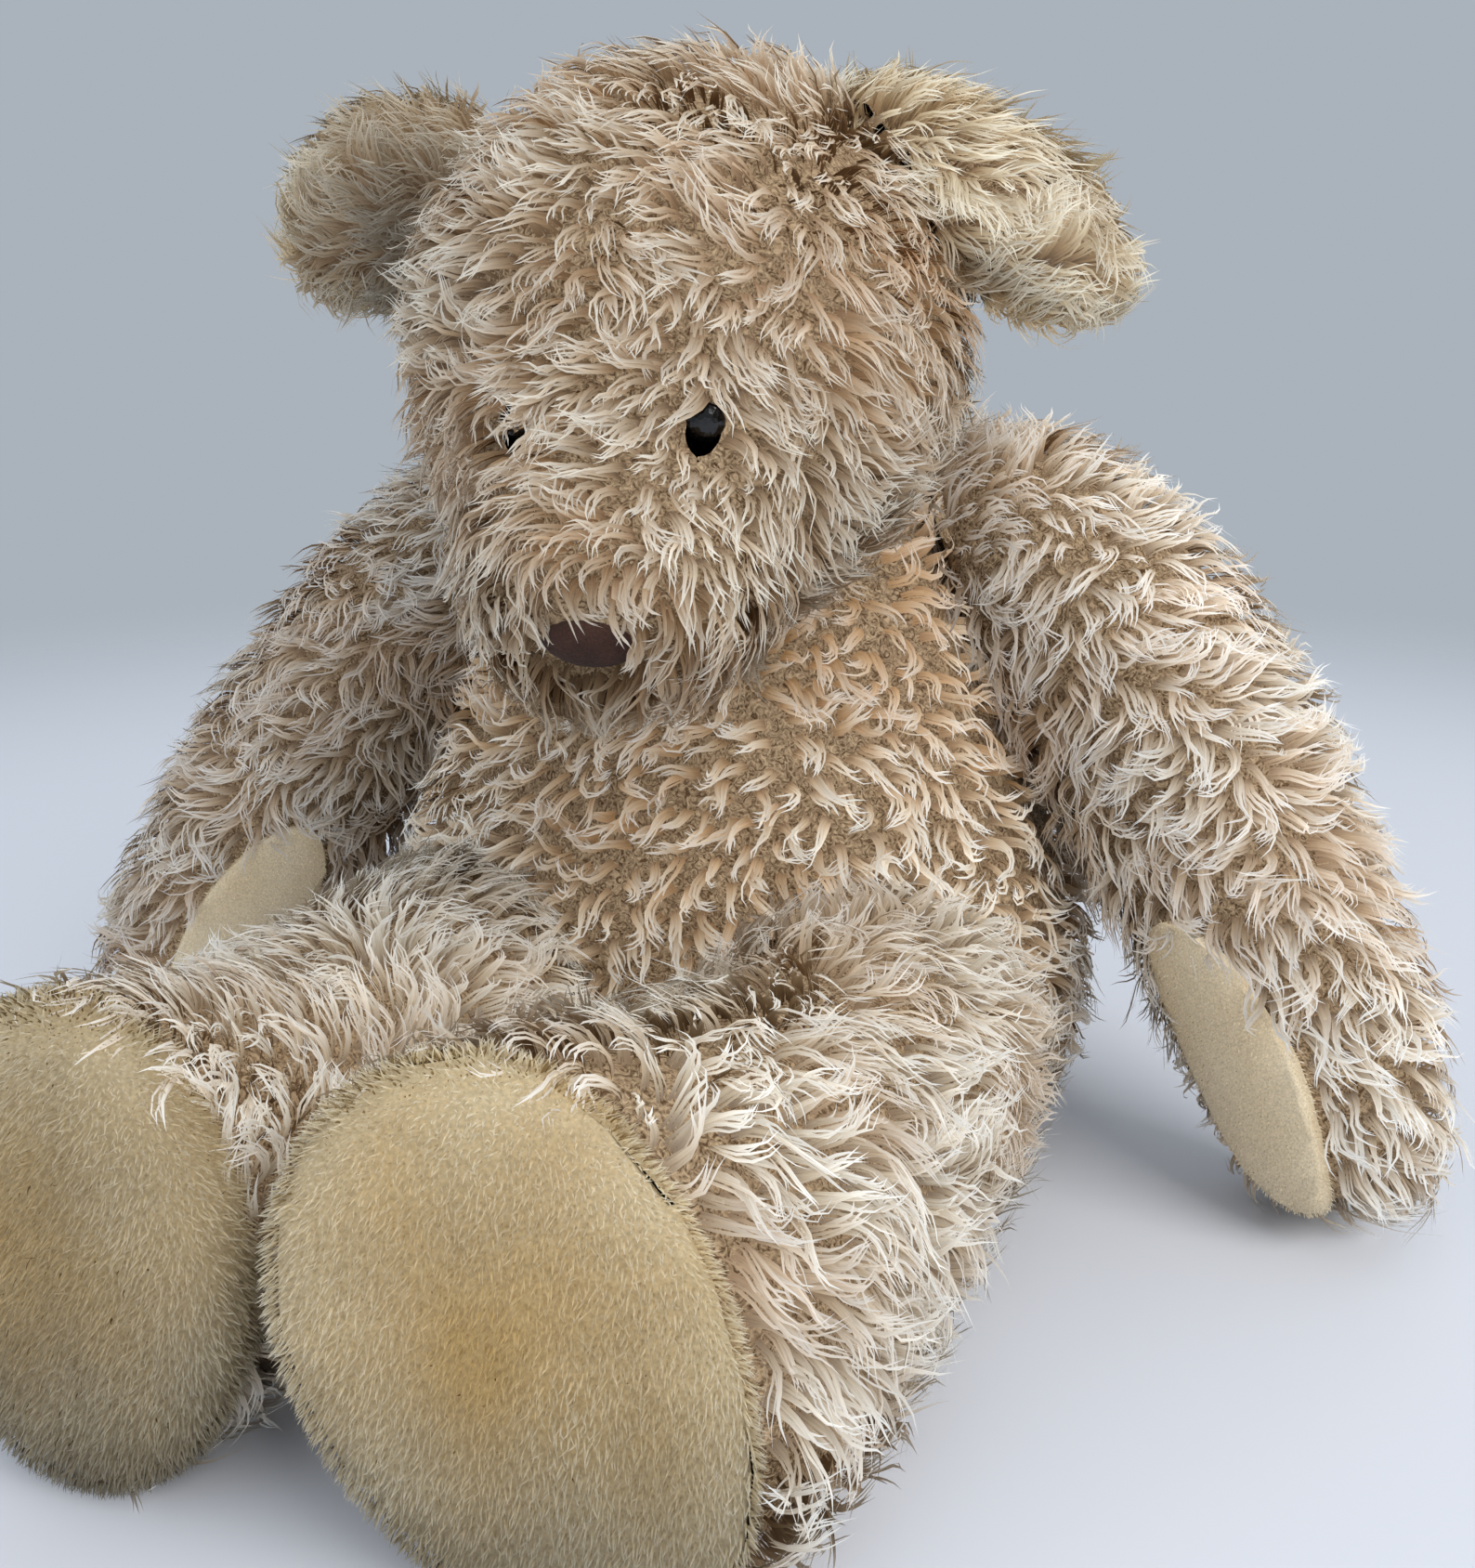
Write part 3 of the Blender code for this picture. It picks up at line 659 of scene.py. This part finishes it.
def noise(tree, places, scale, detail=2.0, distortion=0.0):
    node = tree.nodes.new("ShaderNodeTexNoise")
    node.inputs["Scale"].default_value = scale
    node.inputs["Detail"].default_value = detail
    node.inputs["Distortion"].default_value = distortion
    link(tree, places, node.inputs["Vector"])
    return node.outputs["Fac"]


def ramped(tree, value, places, colours):
    """A colour that changes with the value, from sRGB colours at some places."""
    node = tree.nodes.new("ShaderNodeValToRGB")
    stops = node.color_ramp.elements
    while len(stops) < len(places):
        stops.new(0.5)
    for stop, place, colour in zip(stops, places, colours):
        stop.position = place
        stop.color = (*linear(colour), 1)
    link(tree, value, node.inputs["Fac"])
    return node.outputs["Color"]


def scaled(tree, factor):
    """A node that multiplies its first input, a colour, by the factor."""
    node = tree.nodes.new("ShaderNodeVectorMath")
    node.operation = "SCALE"
    link(tree, factor, node.inputs["Scale"])
    return node


def bumped(tree, bsdf, height, strength, distance):
    node = tree.nodes.new("ShaderNodeBump")
    node.inputs["Strength"].default_value = strength
    node.inputs["Distance"].default_value = distance
    link(tree, height, node.inputs["Height"])
    link(tree, node.outputs[0], bsdf.inputs["Normal"])


STREAK_SPREAD = (1.9, 0.55, 1)  # how the chart of a strand is stretched for its streaks
STREAK_APART = 90               # how far apart strands lie in the noise that makes them


def strand_places(tree):
    """Places for noise along each strand, far apart from one strand to the next."""
    chart = tree.nodes.new("ShaderNodeUVMap")
    chart.uv_map = "Strand"
    spread = tree.nodes.new("ShaderNodeMapping")
    spread.inputs["Scale"].default_value = STREAK_SPREAD
    link(tree, chart.outputs["UV"], spread.inputs["Vector"])
    shift = tree.nodes.new("ShaderNodeCombineXYZ")
    link(tree, attribute(tree, "chance"), shift.inputs["Z"])
    far = tree.nodes.new("ShaderNodeVectorMath")
    far.operation = "MULTIPLY_ADD"
    far.inputs[1].default_value = (0, 0, STREAK_APART)
    link(tree, shift.outputs[0], far.inputs[0])
    link(tree, spread.outputs[0], far.inputs[2])
    return far.outputs[0]


COLOUR_PLACES = (0.04, 0.24, 0.52, 0.85)  # where a strand has the four colours of its pile
STREAK_SCALE = 1.6
STREAKED = (0.84, 1.08)                   # brightness across the streaks of a strand
EACH = (0.78, 1.12)                       # brightness from one strand to the next
SPECKED = (0.78, 1.16)                    # brightness of a pad's specks
# the stain colour also carries painted shade under the ears and on the right arm
SOAK = (0.80, 0.36)                       # how much of a stain shows at a strand's root and tip
PAD_SOAK = (0.62, 0.62)


def pile_material(name, deep, root, middle, tip, stain_and_shade, speck=None, soak=SOAK):
    """Pile: darker at the root, pale at the tip, each strand streaked and a little unlike the next.
    speck is the size of dark specks that don't follow the strands."""
    mat, tree, bsdf = new_material(name)
    clean = ramped(tree, attribute(tree, "along"), COLOUR_PLACES, (deep, root, middle, tip))
    tint_and_shade = tree.nodes.new("ShaderNodeMix")
    tint_and_shade.data_type = "RGBA"
    tint_and_shade.inputs["B"].default_value = (*linear(stain_and_shade), 1)
    soaked = mapped(tree, attribute(tree, "along"), *soak)
    # this mix brings in soil, stains and painted shade
    link(tree, maths(tree, "MULTIPLY", attribute(tree, "tint_and_shade"), soaked), tint_and_shade.inputs["Factor"])
    link(tree, clean, tint_and_shade.inputs["A"])
    streak = noise(tree, strand_places(tree), STREAK_SCALE)
    # the shade attribute holds painted shade on the right arm, in the right ear and along the soles,
    # besides the pads' own brightness
    bright = maths(tree, "MULTIPLY", attribute(tree, "shade"), mapped(tree, streak, *STREAKED, 0.32, 0.68))
    bright = maths(tree, "MULTIPLY", bright, mapped(tree, attribute(tree, "chance"), *EACH))
    if speck:
        grain = noise(tree, object_places(tree), 1 / speck, 4)
        bright = maths(tree, "MULTIPLY", bright, mapped(tree, grain, *SPECKED, 0.3, 0.7))
    shade = scaled(tree, bright)
    link(tree, tint_and_shade.outputs["Result"], shade.inputs[0])
    link(tree, shade.outputs[0], bsdf.inputs["Base Color"])
    bumped(tree, bsdf, streak, 0.35, 0.0006)
    bsdf.inputs["Roughness"].default_value = 0.52
    bsdf.inputs["Specular IOR Level"].default_value = 0.35
    return mat


def plain_material(name, colour, roughness, grain, grain_size, bump, sheen=0.0, specular=0.3):
    """Metal, gloss or nap of one colour with a fine grain."""
    mat, tree, bsdf = new_material(name)
    places = object_places(tree)
    fine = noise(tree, places, 1 / grain_size, 3)
    broad = noise(tree, places, 0.06 / grain_size)
    level = mapped(tree, maths(tree, "ADD", fine, broad), 1 - grain, 1 + grain, 0.7, 1.3)
    shade = scaled(tree, level)
    shade.inputs[0].default_value = linear(colour)
    link(tree, shade.outputs[0], bsdf.inputs["Base Color"])
    bumped(tree, bsdf, fine, bump, grain_size)
    bsdf.inputs["Roughness"].default_value = roughness
    bsdf.inputs["Specular IOR Level"].default_value = specular
    bsdf.inputs["Sheen Weight"].default_value = sheen
    return mat


def curled_backing(name, deep, high, size):
    """Backing cloth that shows as a mat of fine curls between the locks."""
    mat, tree, bsdf = new_material(name)
    curls = noise(tree, object_places(tree), 1 / size, 3.5, 2.6)
    link(tree, ramped(tree, curls, (0.34, 0.66), (deep, high)), bsdf.inputs["Base Color"])
    bumped(tree, bsdf, curls, 0.8, size * 0.5)
    bsdf.inputs["Roughness"].default_value = 0.9
    bsdf.inputs["Specular IOR Level"].default_value = 0.2
    return mat


def finished_skin(name, skin, inset, material, node, also=()):
    """The backing cloth of a part, which stands for its CAD nodes."""
    points = skin.points - skin.normals * inset
    made = piece_mesh(name, points, skin.faces, {}, None, skin.normals)
    made.data.materials.append(material)
    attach(made, "root")
    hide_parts(node, *also)
    return made


def finished_pile(fur, material):
    """Dresses pile. It casts no shadow, because its strands are far wider than real fibres."""
    fur.data.materials.append(material)
    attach(fur, "root")
    fur.visible_shadow = False


BACKING = curled_backing("backing_curls", (98, 74, 50), (206, 180, 146), 0.0042)
# sRGB colours of each kind of part's pile: at the skin, the root, the middle and the tip, and its stain,
# whose colour also paints shade
PILE_COLOURS = {
    "head": ((114, 90, 64), (156, 130, 100), (200, 182, 158), (232, 225, 211), (170, 126, 80)),
    "body": ((158, 128, 96), (206, 178, 144), (240, 226, 204), (252, 248, 240), (192, 146, 92)),
    "arm": ((140, 118, 94), (196, 176, 150), (240, 230, 214), (253, 251, 246), (190, 152, 112)),
    "leg": ((152, 132, 110), (196, 180, 156), (232, 223, 208), (248, 245, 238), (188, 156, 122)),
    # the ear's dark stain colour is the colour of painted shade in the ears' hollows
    "ear": ((118, 92, 64), (158, 130, 94), (202, 184, 152), (238, 230, 210), (120, 90, 60)),
    "foot": ((204, 180, 138), (218, 196, 154), (228, 209, 170), (242, 230, 204), (204, 166, 98)),
    "paw": ((212, 194, 162), (222, 206, 176), (230, 216, 188), (238, 228, 206), (204, 174, 124)),
}
PAD_SPECKS = {"foot": 0.0016, "paw": 0.0010}
LOOKS = {
    kind: pile_material(
        kind + "_pile", *colours, PAD_SPECKS.get(kind), PAD_SOAK if kind in PAD_SPECKS else SOAK
    )
    for kind, colours in PILE_COLOURS.items()
}
# The pile, slot and fill of each kind of part
KINDS = {
    "head": ("head", "head_pile", 0.7),
    "ear": ("ear", "head_pile", 0.3),
    "torso": ("body", "body_pile", 0.55),
    "arm": ("arm", "limb_pile", 0.5),
    "leg": ("leg", "limb_pile", 0.6),
}


def middle_of(node):
    low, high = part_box(node)
    return np.array((low + high) / 2)


EYE = middle_of("eye_left")
EYE_OUT = 0.0090          # no lock's centreline comes nearer to the middle of the left eye
RIGHT_EYE = middle_of("eye_right")
CROWD = 0.026             # within this of the right eye, the locks are three times as many
NOSE = middle_of("nose")
NOSE_AT = NOSE + np.array((0.002, -0.008, -0.001))
NOSE_HALF = np.array((0.024, 0.016, 0.0135))
OVER_NOSE = 0.10          # share of the locks over the nose that stay
CHIN = NOSE - np.array((0.0, -0.02, 0.05))
CHIN_SIZE = 0.035
CHIN_SHORTER = 0.35
# Painted shade: the right arm and the right ear are darker all over, the right ear's hollow much more
RIGHT_ARM_PAINTED_SHADE = 0.17
EAR_PAINTED_SHADE = 0.05
EAR_HOLLOW = (-0.116, -0.115, 0.474)
EAR_HOLLOW_SIZE = 0.021
EAR_HOLLOW_PAINTED_SHADE = 0.65


def clear_of_face(centre):
    """Which locks leave the left eye open, and the front of the nose apart from a few over it."""
    to_eye = np.linalg.norm(centre - EYE, axis=2).min(1) > EYE_OUT
    gap = (centre - NOSE_AT) / NOSE_HALF
    near_nose = (np.linalg.norm(gap, axis=2) < 1.0).any(1)
    return to_eye & (~near_nose | (rng.uniform(0, 1, len(centre)) < OVER_NOSE))


def shaded(name, place):
    """How much brightness the pile keeps, as painted shade: less on the whole right arm and right ear, and
    least in the right ear's hollow.
    """
    keeps = np.ones(len(place))
    if name == "arm_right":
        keeps = keeps - RIGHT_ARM_PAINTED_SHADE
    if name == "ear_right":
        keeps = keeps - EAR_PAINTED_SHADE - EAR_HOLLOW_PAINTED_SHADE * blot(place, EAR_HOLLOW, EAR_HOLLOW_SIZE)
    return keeps


def under(tree, place):
    """Whether a place lies beneath a pad, or close to its edge."""
    on, normal, _, gap = tree.find_nearest(place, PAD_REACH)
    return on is not None and (gap < PAD_CLEAR or (on - place).dot(normal) > PAD_BEHIND * gap)


def lock_roots(name):
    """Where the locks of a part are rooted: places, normals and openness."""
    place, normal, free = scattered(SKINS[name], PILE[name][0])
    if name == "head":
        near = np.linalg.norm(place - RIGHT_EYE, axis=1) < CROWD
        place, normal, free = (np.concatenate((a, a[near], a[near])) for a in (place, normal, free))
    kind, *side = name.split("_")
    cover = {"arm": "paw_pad_", "leg": "foot_pad_"}.get(kind)
    if cover:
        tree = PADS[cover + side[0]].tree
        bare = np.array([not under(tree, Vector(p)) for p in place.tolist()])
        place, normal, free = place[bare], normal[bare], free[bare]
    return place, normal, free


# Locks: spread of their lengths, and how far and hard they gather in clumps
LENGTHS = (0.8, 1.2)
CLUMP = 0.015
CLUMP_PULL = 0.5
CROWDED_LENGTH = 0.65     # share of its length that a lock keeps where it has no room
LEAST_HEIGHT = 0.35       # and of its height
LEAD_HEIGHTS = (0.25, 1.0)
LEAD_SHARE = 0.55         # how much of a lock's height comes from the leader of its clump, and from itself
OWN_SHARE = 0.45
TIPS_UP = (0.3, 0.4)      # mean and spread of how far tips lift, and how many lift more, and how much
TIPS_LOOSE = 0.28
TIPS_MORE = 1.2


def lock_paths(name):
    """The locks of a part: centrelines over its skin, their normals and their roots."""
    _, length, _, wave, curl, stand = PILE[name]
    place, normal, free = lock_roots(name)
    way = combed(name, place, normal)
    size = len(place)
    room = CROWDED_LENGTH + (1 - CROWDED_LENGTH) * np.clip(free * 2.2, 0, 1)
    long = length * rng.uniform(*LENGTHS, size) * room
    if name == "head":
        long = long * (1 - CHIN_SHORTER * blot(place, CHIN, CHIN_SIZE))
    paths, normals = grown(SKINS[name], place, normal, way, long, wave, curl)
    paths, leader = gathered(place, paths, CLUMP, CLUMP_PULL)
    lead_height = rng.uniform(*LEAD_HEIGHTS, size)
    own_height = rng.uniform(0, 1, size)
    reach = stand * (LEAD_SHARE * lead_height[leader] + OWN_SHARE * own_height)[:, None]
    tip_up = rng.normal(*TIPS_UP, size)
    tip = (tip_up + (rng.uniform(0, 1, size) < TIPS_LOOSE) * TIPS_MORE)[:, None] * stand
    rise = 1 - (1 - np.clip(ALONG * 1.5, 0, 1)) ** 2.0
    height = -SKIN_IN + (SKIN_IN + reach) * rise + tip * np.clip(ALONG - 0.5, 0, 1) ** 1.5
    height = height * np.minimum(1, LEAST_HEIGHT + free)[:, None]
    centre = paths + normals * height[..., None]
    if name == "head":
        clear = clear_of_face(centre)
        centre, normals, place = centre[clear], normals[clear], place[clear]
    return centre, normals, place


# Strands of a lock: where they start across it, how wide it is and how much it narrows to its tip
LOCK_PARTS = (-0.9, -0.3, 0.3, 0.9)
LOCK_WIDE = 0.0026
LOCK_NARROWS = 0.75
SHORTER = (0.7, 1.04)
SWING = 0.0013
SWINGS = (0.7, 1.5)
STRAY = 0.0019            # how far tips stray sideways
ROOTS_UNEVEN = 0.0007
OUTER_LOWER = 0.0006
TIPS_UNEVEN = (0.0004, 0.0014)
WIDTHS = (0.6, 1.15)
LOCK_ROUND = 0.4          # how much the strands turn to the sides of their lock
ROLL_SPREAD = 0.25
LOCK_ALIKE = 0.6          # how alike in colour the strands of a lock are
TIP_WIDTH = 0.10


def lock_strands(centre, normals, width):
    """The strands of all locks: centrelines, normals, widths, rolls and chances."""
    size = len(centre)
    strands, ups, widths, rolls, chances = [], [], [], [], []
    lock_chance = rng.uniform(0, 1, size)
    side = unit(np.cross(normals, unit(np.gradient(centre, axis=1))))
    for j in LOCK_PARTS:
        short = rng.uniform(*SHORTER, (size, 1, 1))
        own = centre[:, :1] + (centre - centre[:, :1]) * short
        turns = ALONG * rng.uniform(*SWINGS, (size, 1)) + rng.uniform(0, 1, (size, 1))
        swing = SWING * np.sin(2 * math.pi * turns) * ALONG
        stray = rng.normal(0, STRAY, (size, 1)) * ALONG**1.3
        off = j * LOCK_WIDE * (1 - LOCK_NARROWS * ALONG) + stray + swing
        low = rng.normal(0, ROOTS_UNEVEN, (size, 1)) - OUTER_LOWER * abs(j)
        lift = low + rng.normal(*TIPS_UNEVEN, (size, 1)) * ALONG**2
        strands.append(own + side * off[..., None] + normals * (lift * np.ones_like(ALONG))[..., None])
        ups.append(normals)
        widths.append(width * rng.uniform(*WIDTHS, size))
        rolls.append(j * LOCK_ROUND + rng.normal(0, ROLL_SPREAD, size))
        own_chance = rng.uniform(0, 1, size)
        chances.append((LOCK_ALIKE * lock_chance + (1 - LOCK_ALIKE) * own_chance).clip(0, 1))
    return [np.concatenate(a) for a in (strands, ups, widths, rolls, chances)]


def furred(name):
    """Backing cloth and pile of one part."""
    look, slot, fill = KINDS[name.split("_")[0]]
    stuffing = name + "_stuffing"
    also = [stuffing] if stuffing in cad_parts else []
    finished_skin(name + "_cloth", SKINS[name], SKIN_IN, BACKING, name, also)
    centre, normals, place = lock_paths(name)
    strands, ups, widths, rolls, chances = lock_strands(centre, normals, PILE[name][2])
    marks = {
        "chance": chances,
        "tint_and_shade": np.tile(tint_and_shade_at(name, place), len(LOCK_PARTS)),
        "shade": np.tile(shaded(name, place), len(LOCK_PARTS)),
    }
    fur = strand_mesh(name + "_pile", strands, ups, widths, TIP_WIDTH, rolls, ALONG[0], marks)
    finished_pile(fur, LOOKS[look])


# Foot pads: their golden middle, painted shade along their lower edge, and how these drift
GOLD = 1.15
GOLD_HALF = (0.72, 0.60)
GOLD_UP = 0.15
GOLD_DRIFT = 0.22
SOLE_BRIGHT = 0.88
SOLE_EDGE_PAINTED_SHADE = 0.50
SOLE_DRIFT = 0.04
# painted shade over the whole right sole
RIGHT_SOLE_SHADE_KEEPS = 0.80
PAW_BRIGHT = 1.18
# Pads: inset of the cloth, depth of its hem, blades of pile, their length, width and lean, slot and fill
PAD_STYLES = {
    "foot": (0.003, 0.014, 10500, 0.0062, 0.0010, (0.0, 0.0, -1.0), "foot_pile", 0.7),
    "paw": (0.0, 0.007, 2600, 0.0024, 0.0009, (0.3, 0.0, -1.0), "paw_velour", 0.6),
}
PAD_STEPS = 3
PAD_CLOTH_ALONG = 0.45    # the pad's cloth has the colour of its pile at this share of a blade
PAD_CLOTH_KEEPS = 0.96
BLADE_UP = 0.85
BLADE_OVER = 0.55
BLADE_TIP_WIDTH = 0.2


def gold_and_shade(name, place):
    """How golden a pad is at each place, from 0 to 1, and how much brightness it keeps there, with painted
    shade along a sole's lower edge and over the whole right sole.
    """
    if name.startswith("paw"):
        return (0.3 + 0.2 * drift(place, 0.03, 31)).clip(0, 1.4), np.full(len(place), PAW_BRIGHT)
    low, high = place.min(0), place.max(0)
    across, rise = ((place - (low + high) / 2) / ((high - low) / 2))[:, [0, 2]].T
    far = (across / GOLD_HALF[0]) ** 2 + ((rise - GOLD_UP) / GOLD_HALF[1]) ** 2
    golden = GOLD * np.exp(-far) + GOLD_DRIFT * drift(place, 0.03, 31)
    # painted shade: the lower part of a sole is darker
    keeps = SOLE_BRIGHT - SOLE_EDGE_PAINTED_SHADE * np.clip((0.05 - rise) / 0.95, 0, 1)
    keeps = keeps + SOLE_DRIFT * drift(place, 0.02, 32)
    # painted shade: the whole right sole is darker
    if name == "foot_pad_right":
        keeps = keeps * RIGHT_SOLE_SHADE_KEEPS
    return golden.clip(0, 1.4), keeps


def pad(name):
    """A pad's cloth with short dense pile on it."""
    kind = name.split("_")[0]
    inset, hem, count, length, width, lean, slot, fill = PAD_STYLES[kind]
    skin = PADS[name]
    skin.hem(hem)
    golden, keeps = gold_and_shade(name, skin.points)
    flat = np.full(len(golden), PAD_CLOTH_ALONG)
    cloth = finished_skin(name + "_cloth", skin, inset, LOOKS[kind], name)
    marked(cloth.data, {"along": flat, "chance": flat, "tint_and_shade": golden, "shade": keeps * PAD_CLOTH_KEEPS})
    place, normal, _ = scattered(skin, count, 0.0)
    size = len(place)
    slant = upon(np.array(lean)[None] + 0.5 * rng.normal(size=(size, 3)), normal)
    s = np.linspace(0, 1, PAD_STEPS + 1)[None, :, None]
    long = (length * rng.uniform(0.75, 1.15, size))[:, None, None]
    centre = place[:, None] - normal[:, None] * inset
    centre = centre + long * (normal[:, None] * (s * BLADE_UP) + slant[:, None] * BLADE_OVER * s**1.6)
    golden, keeps = gold_and_shade(name, place)
    ups = np.broadcast_to(normal[:, None], centre.shape)
    widths = width * rng.uniform(0.7, 1.2, size)
    rolls = rng.uniform(-0.6, 0.6, size)
    marks = {"chance": rng.uniform(0.2, 0.8, size), "tint_and_shade": golden, "shade": keeps}
    fur = strand_mesh(name + "_pile", centre, ups, widths, BLADE_TIP_WIDTH, rolls, s[0, :, 0], marks)
    finished_pile(fur, LOOKS[kind])


for part in PILE:
    furred(part)
for side in ("left", "right"):
    pad("foot_pad_" + side)
    pad("paw_pad_" + side)

nose_look = plain_material("nose_nap", (70, 46, 38), 0.9, 0.35, 0.0009, 0.8, sheen=0.08)
eye_look = plain_material("eye_gloss", (10, 9, 9), 0.12, 0.05, 0.004, 0.0, specular=0.5)
washer_look = plain_material("washer_metal", (150, 150, 150), 0.4, 0.1, 0.001, 0.2)
for node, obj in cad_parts.items():
    look = None
    if node == "nose":
        look = nose_look
    elif node in ("eye_left", "eye_right"):
        look = eye_look
    elif node.endswith("washer"):
        look = washer_look
    if look:
        obj.data.materials.clear()
        obj.data.materials.append(look)

# Floor, which fades into the plain wall colour far out, light and camera
FLOOR_RADIUS = 2.6
FLOOR_SIDES = 64
FADE_FROM = 0.9
FADE_TO = 2.4
WALL = linear((170, 178, 187))
floor_mesh = bpy.data.meshes.new("floor")
turns = np.linspace(0, 2 * math.pi, FLOOR_SIDES + 1)[:-1]
ring = [(FLOOR_RADIUS * math.cos(t), FLOOR_RADIUS * math.sin(t), 0) for t in turns]
floor_mesh.from_pydata(ring, [], [tuple(range(FLOOR_SIDES))])
floor = bpy.data.objects.new("floor", floor_mesh)
bpy.context.scene.collection.objects.link(floor)
floor_look, tree, bsdf = new_material("floor")
bsdf.inputs["Base Color"].default_value = (*linear((217, 220, 228)), 1)
bsdf.inputs["Roughness"].default_value = 0.6
bsdf.inputs["Specular IOR Level"].default_value = 0.2
away = tree.nodes.new("ShaderNodeVectorMath")
away.operation = "LENGTH"
link(tree, object_places(tree), away.inputs[0])
clear = tree.nodes.new("ShaderNodeBsdfTransparent")
mixed = tree.nodes.new("ShaderNodeMixShader")
link(tree, mapped(tree, away.outputs["Value"], 0, 1, FADE_FROM, FADE_TO, smooth=True), mixed.inputs["Fac"])
link(tree, bsdf.outputs[0], mixed.inputs[1])
link(tree, clear.outputs[0], mixed.inputs[2])
link(tree, mixed.outputs[0], tree.nodes["Material Output"].inputs["Surface"])
floor_mesh.materials.append(floor_look)

world = bpy.data.worlds.new("studio")
bpy.context.scene.world = world
world.use_nodes = True
tree = world.node_tree
light = tree.nodes["Background"]
light.inputs["Color"].default_value = (0.86, 0.93, 1.0, 1)
light.inputs["Strength"].default_value = 0.75
seen = tree.nodes.new("ShaderNodeBackground")
seen.inputs["Color"].default_value = (*WALL, 1)
seen.inputs["Strength"].default_value = 1.0
path = tree.nodes.new("ShaderNodeLightPath")
shown = maths(tree, "MAXIMUM", path.outputs["Is Camera Ray"], path.outputs["Is Glossy Ray"])
shown = maths(tree, "MAXIMUM", shown, path.outputs["Is Transmission Ray"])
choice = tree.nodes.new("ShaderNodeMixShader")
link(tree, shown, choice.inputs["Fac"])
link(tree, light.outputs[0], choice.inputs[1])
link(tree, seen.outputs[0], choice.inputs[2])
link(tree, choice.outputs[0], tree.nodes["World Output"].inputs["Surface"])

BEAR_MIDDLE = (0, -0.1, 0.2)


def lamp(name, place, size, power, colour):
    """A soft square lamp that points at the bear."""
    data = bpy.data.lights.new(name, "AREA")
    data.shape = "SQUARE"
    data.size = size
    data.energy = power
    data.color = colour
    made = bpy.data.objects.new(name, data)
    made.location = place
    made.rotation_mode = "QUATERNION"
    made.rotation_quaternion = (Vector(BEAR_MIDDLE) - Vector(place)).to_track_quat("-Z", "Y")
    bpy.context.scene.collection.objects.link(made)


lamp("key", (1.5, -0.9, 1.9), 1.5, 34, (1.0, 0.98, 0.95))
lamp("fill", (-1.4, -1.6, 1.2), 1.8, 9, (0.95, 0.97, 1.0))

forward = Vector((-math.sin(AZIMUTH), math.cos(AZIMUTH), 0))
rightward = Vector((math.cos(AZIMUTH), math.sin(AZIMUTH), 0))
upright = Vector((0, 0, 1))
look_way = forward * math.cos(PITCH) - upright * math.sin(PITCH)
up_way = upright * math.cos(PITCH) + forward * math.sin(PITCH)
camera_data = bpy.data.cameras.new("camera")
camera_data.sensor_fit = "VERTICAL"
camera_data.sensor_height = SENSOR_MM
camera_data.sensor_width = SENSOR_MM
camera_data.lens = FOCUS_PX / TALL_PX * SENSOR_MM
camera_data.clip_start = 0.01
camera_data.clip_end = 50
camera = bpy.data.objects.new("camera", camera_data)
turned = Matrix((rightward, up_way, -look_way)).transposed().to_4x4()
turned.translation = -forward * CAMERA_BACK + upright * CAMERA_UP
camera.matrix_world = turned
bpy.context.scene.collection.objects.link(camera)
bpy.context.scene.camera = camera
bpy.context.scene.view_settings.view_transform = "Standard"
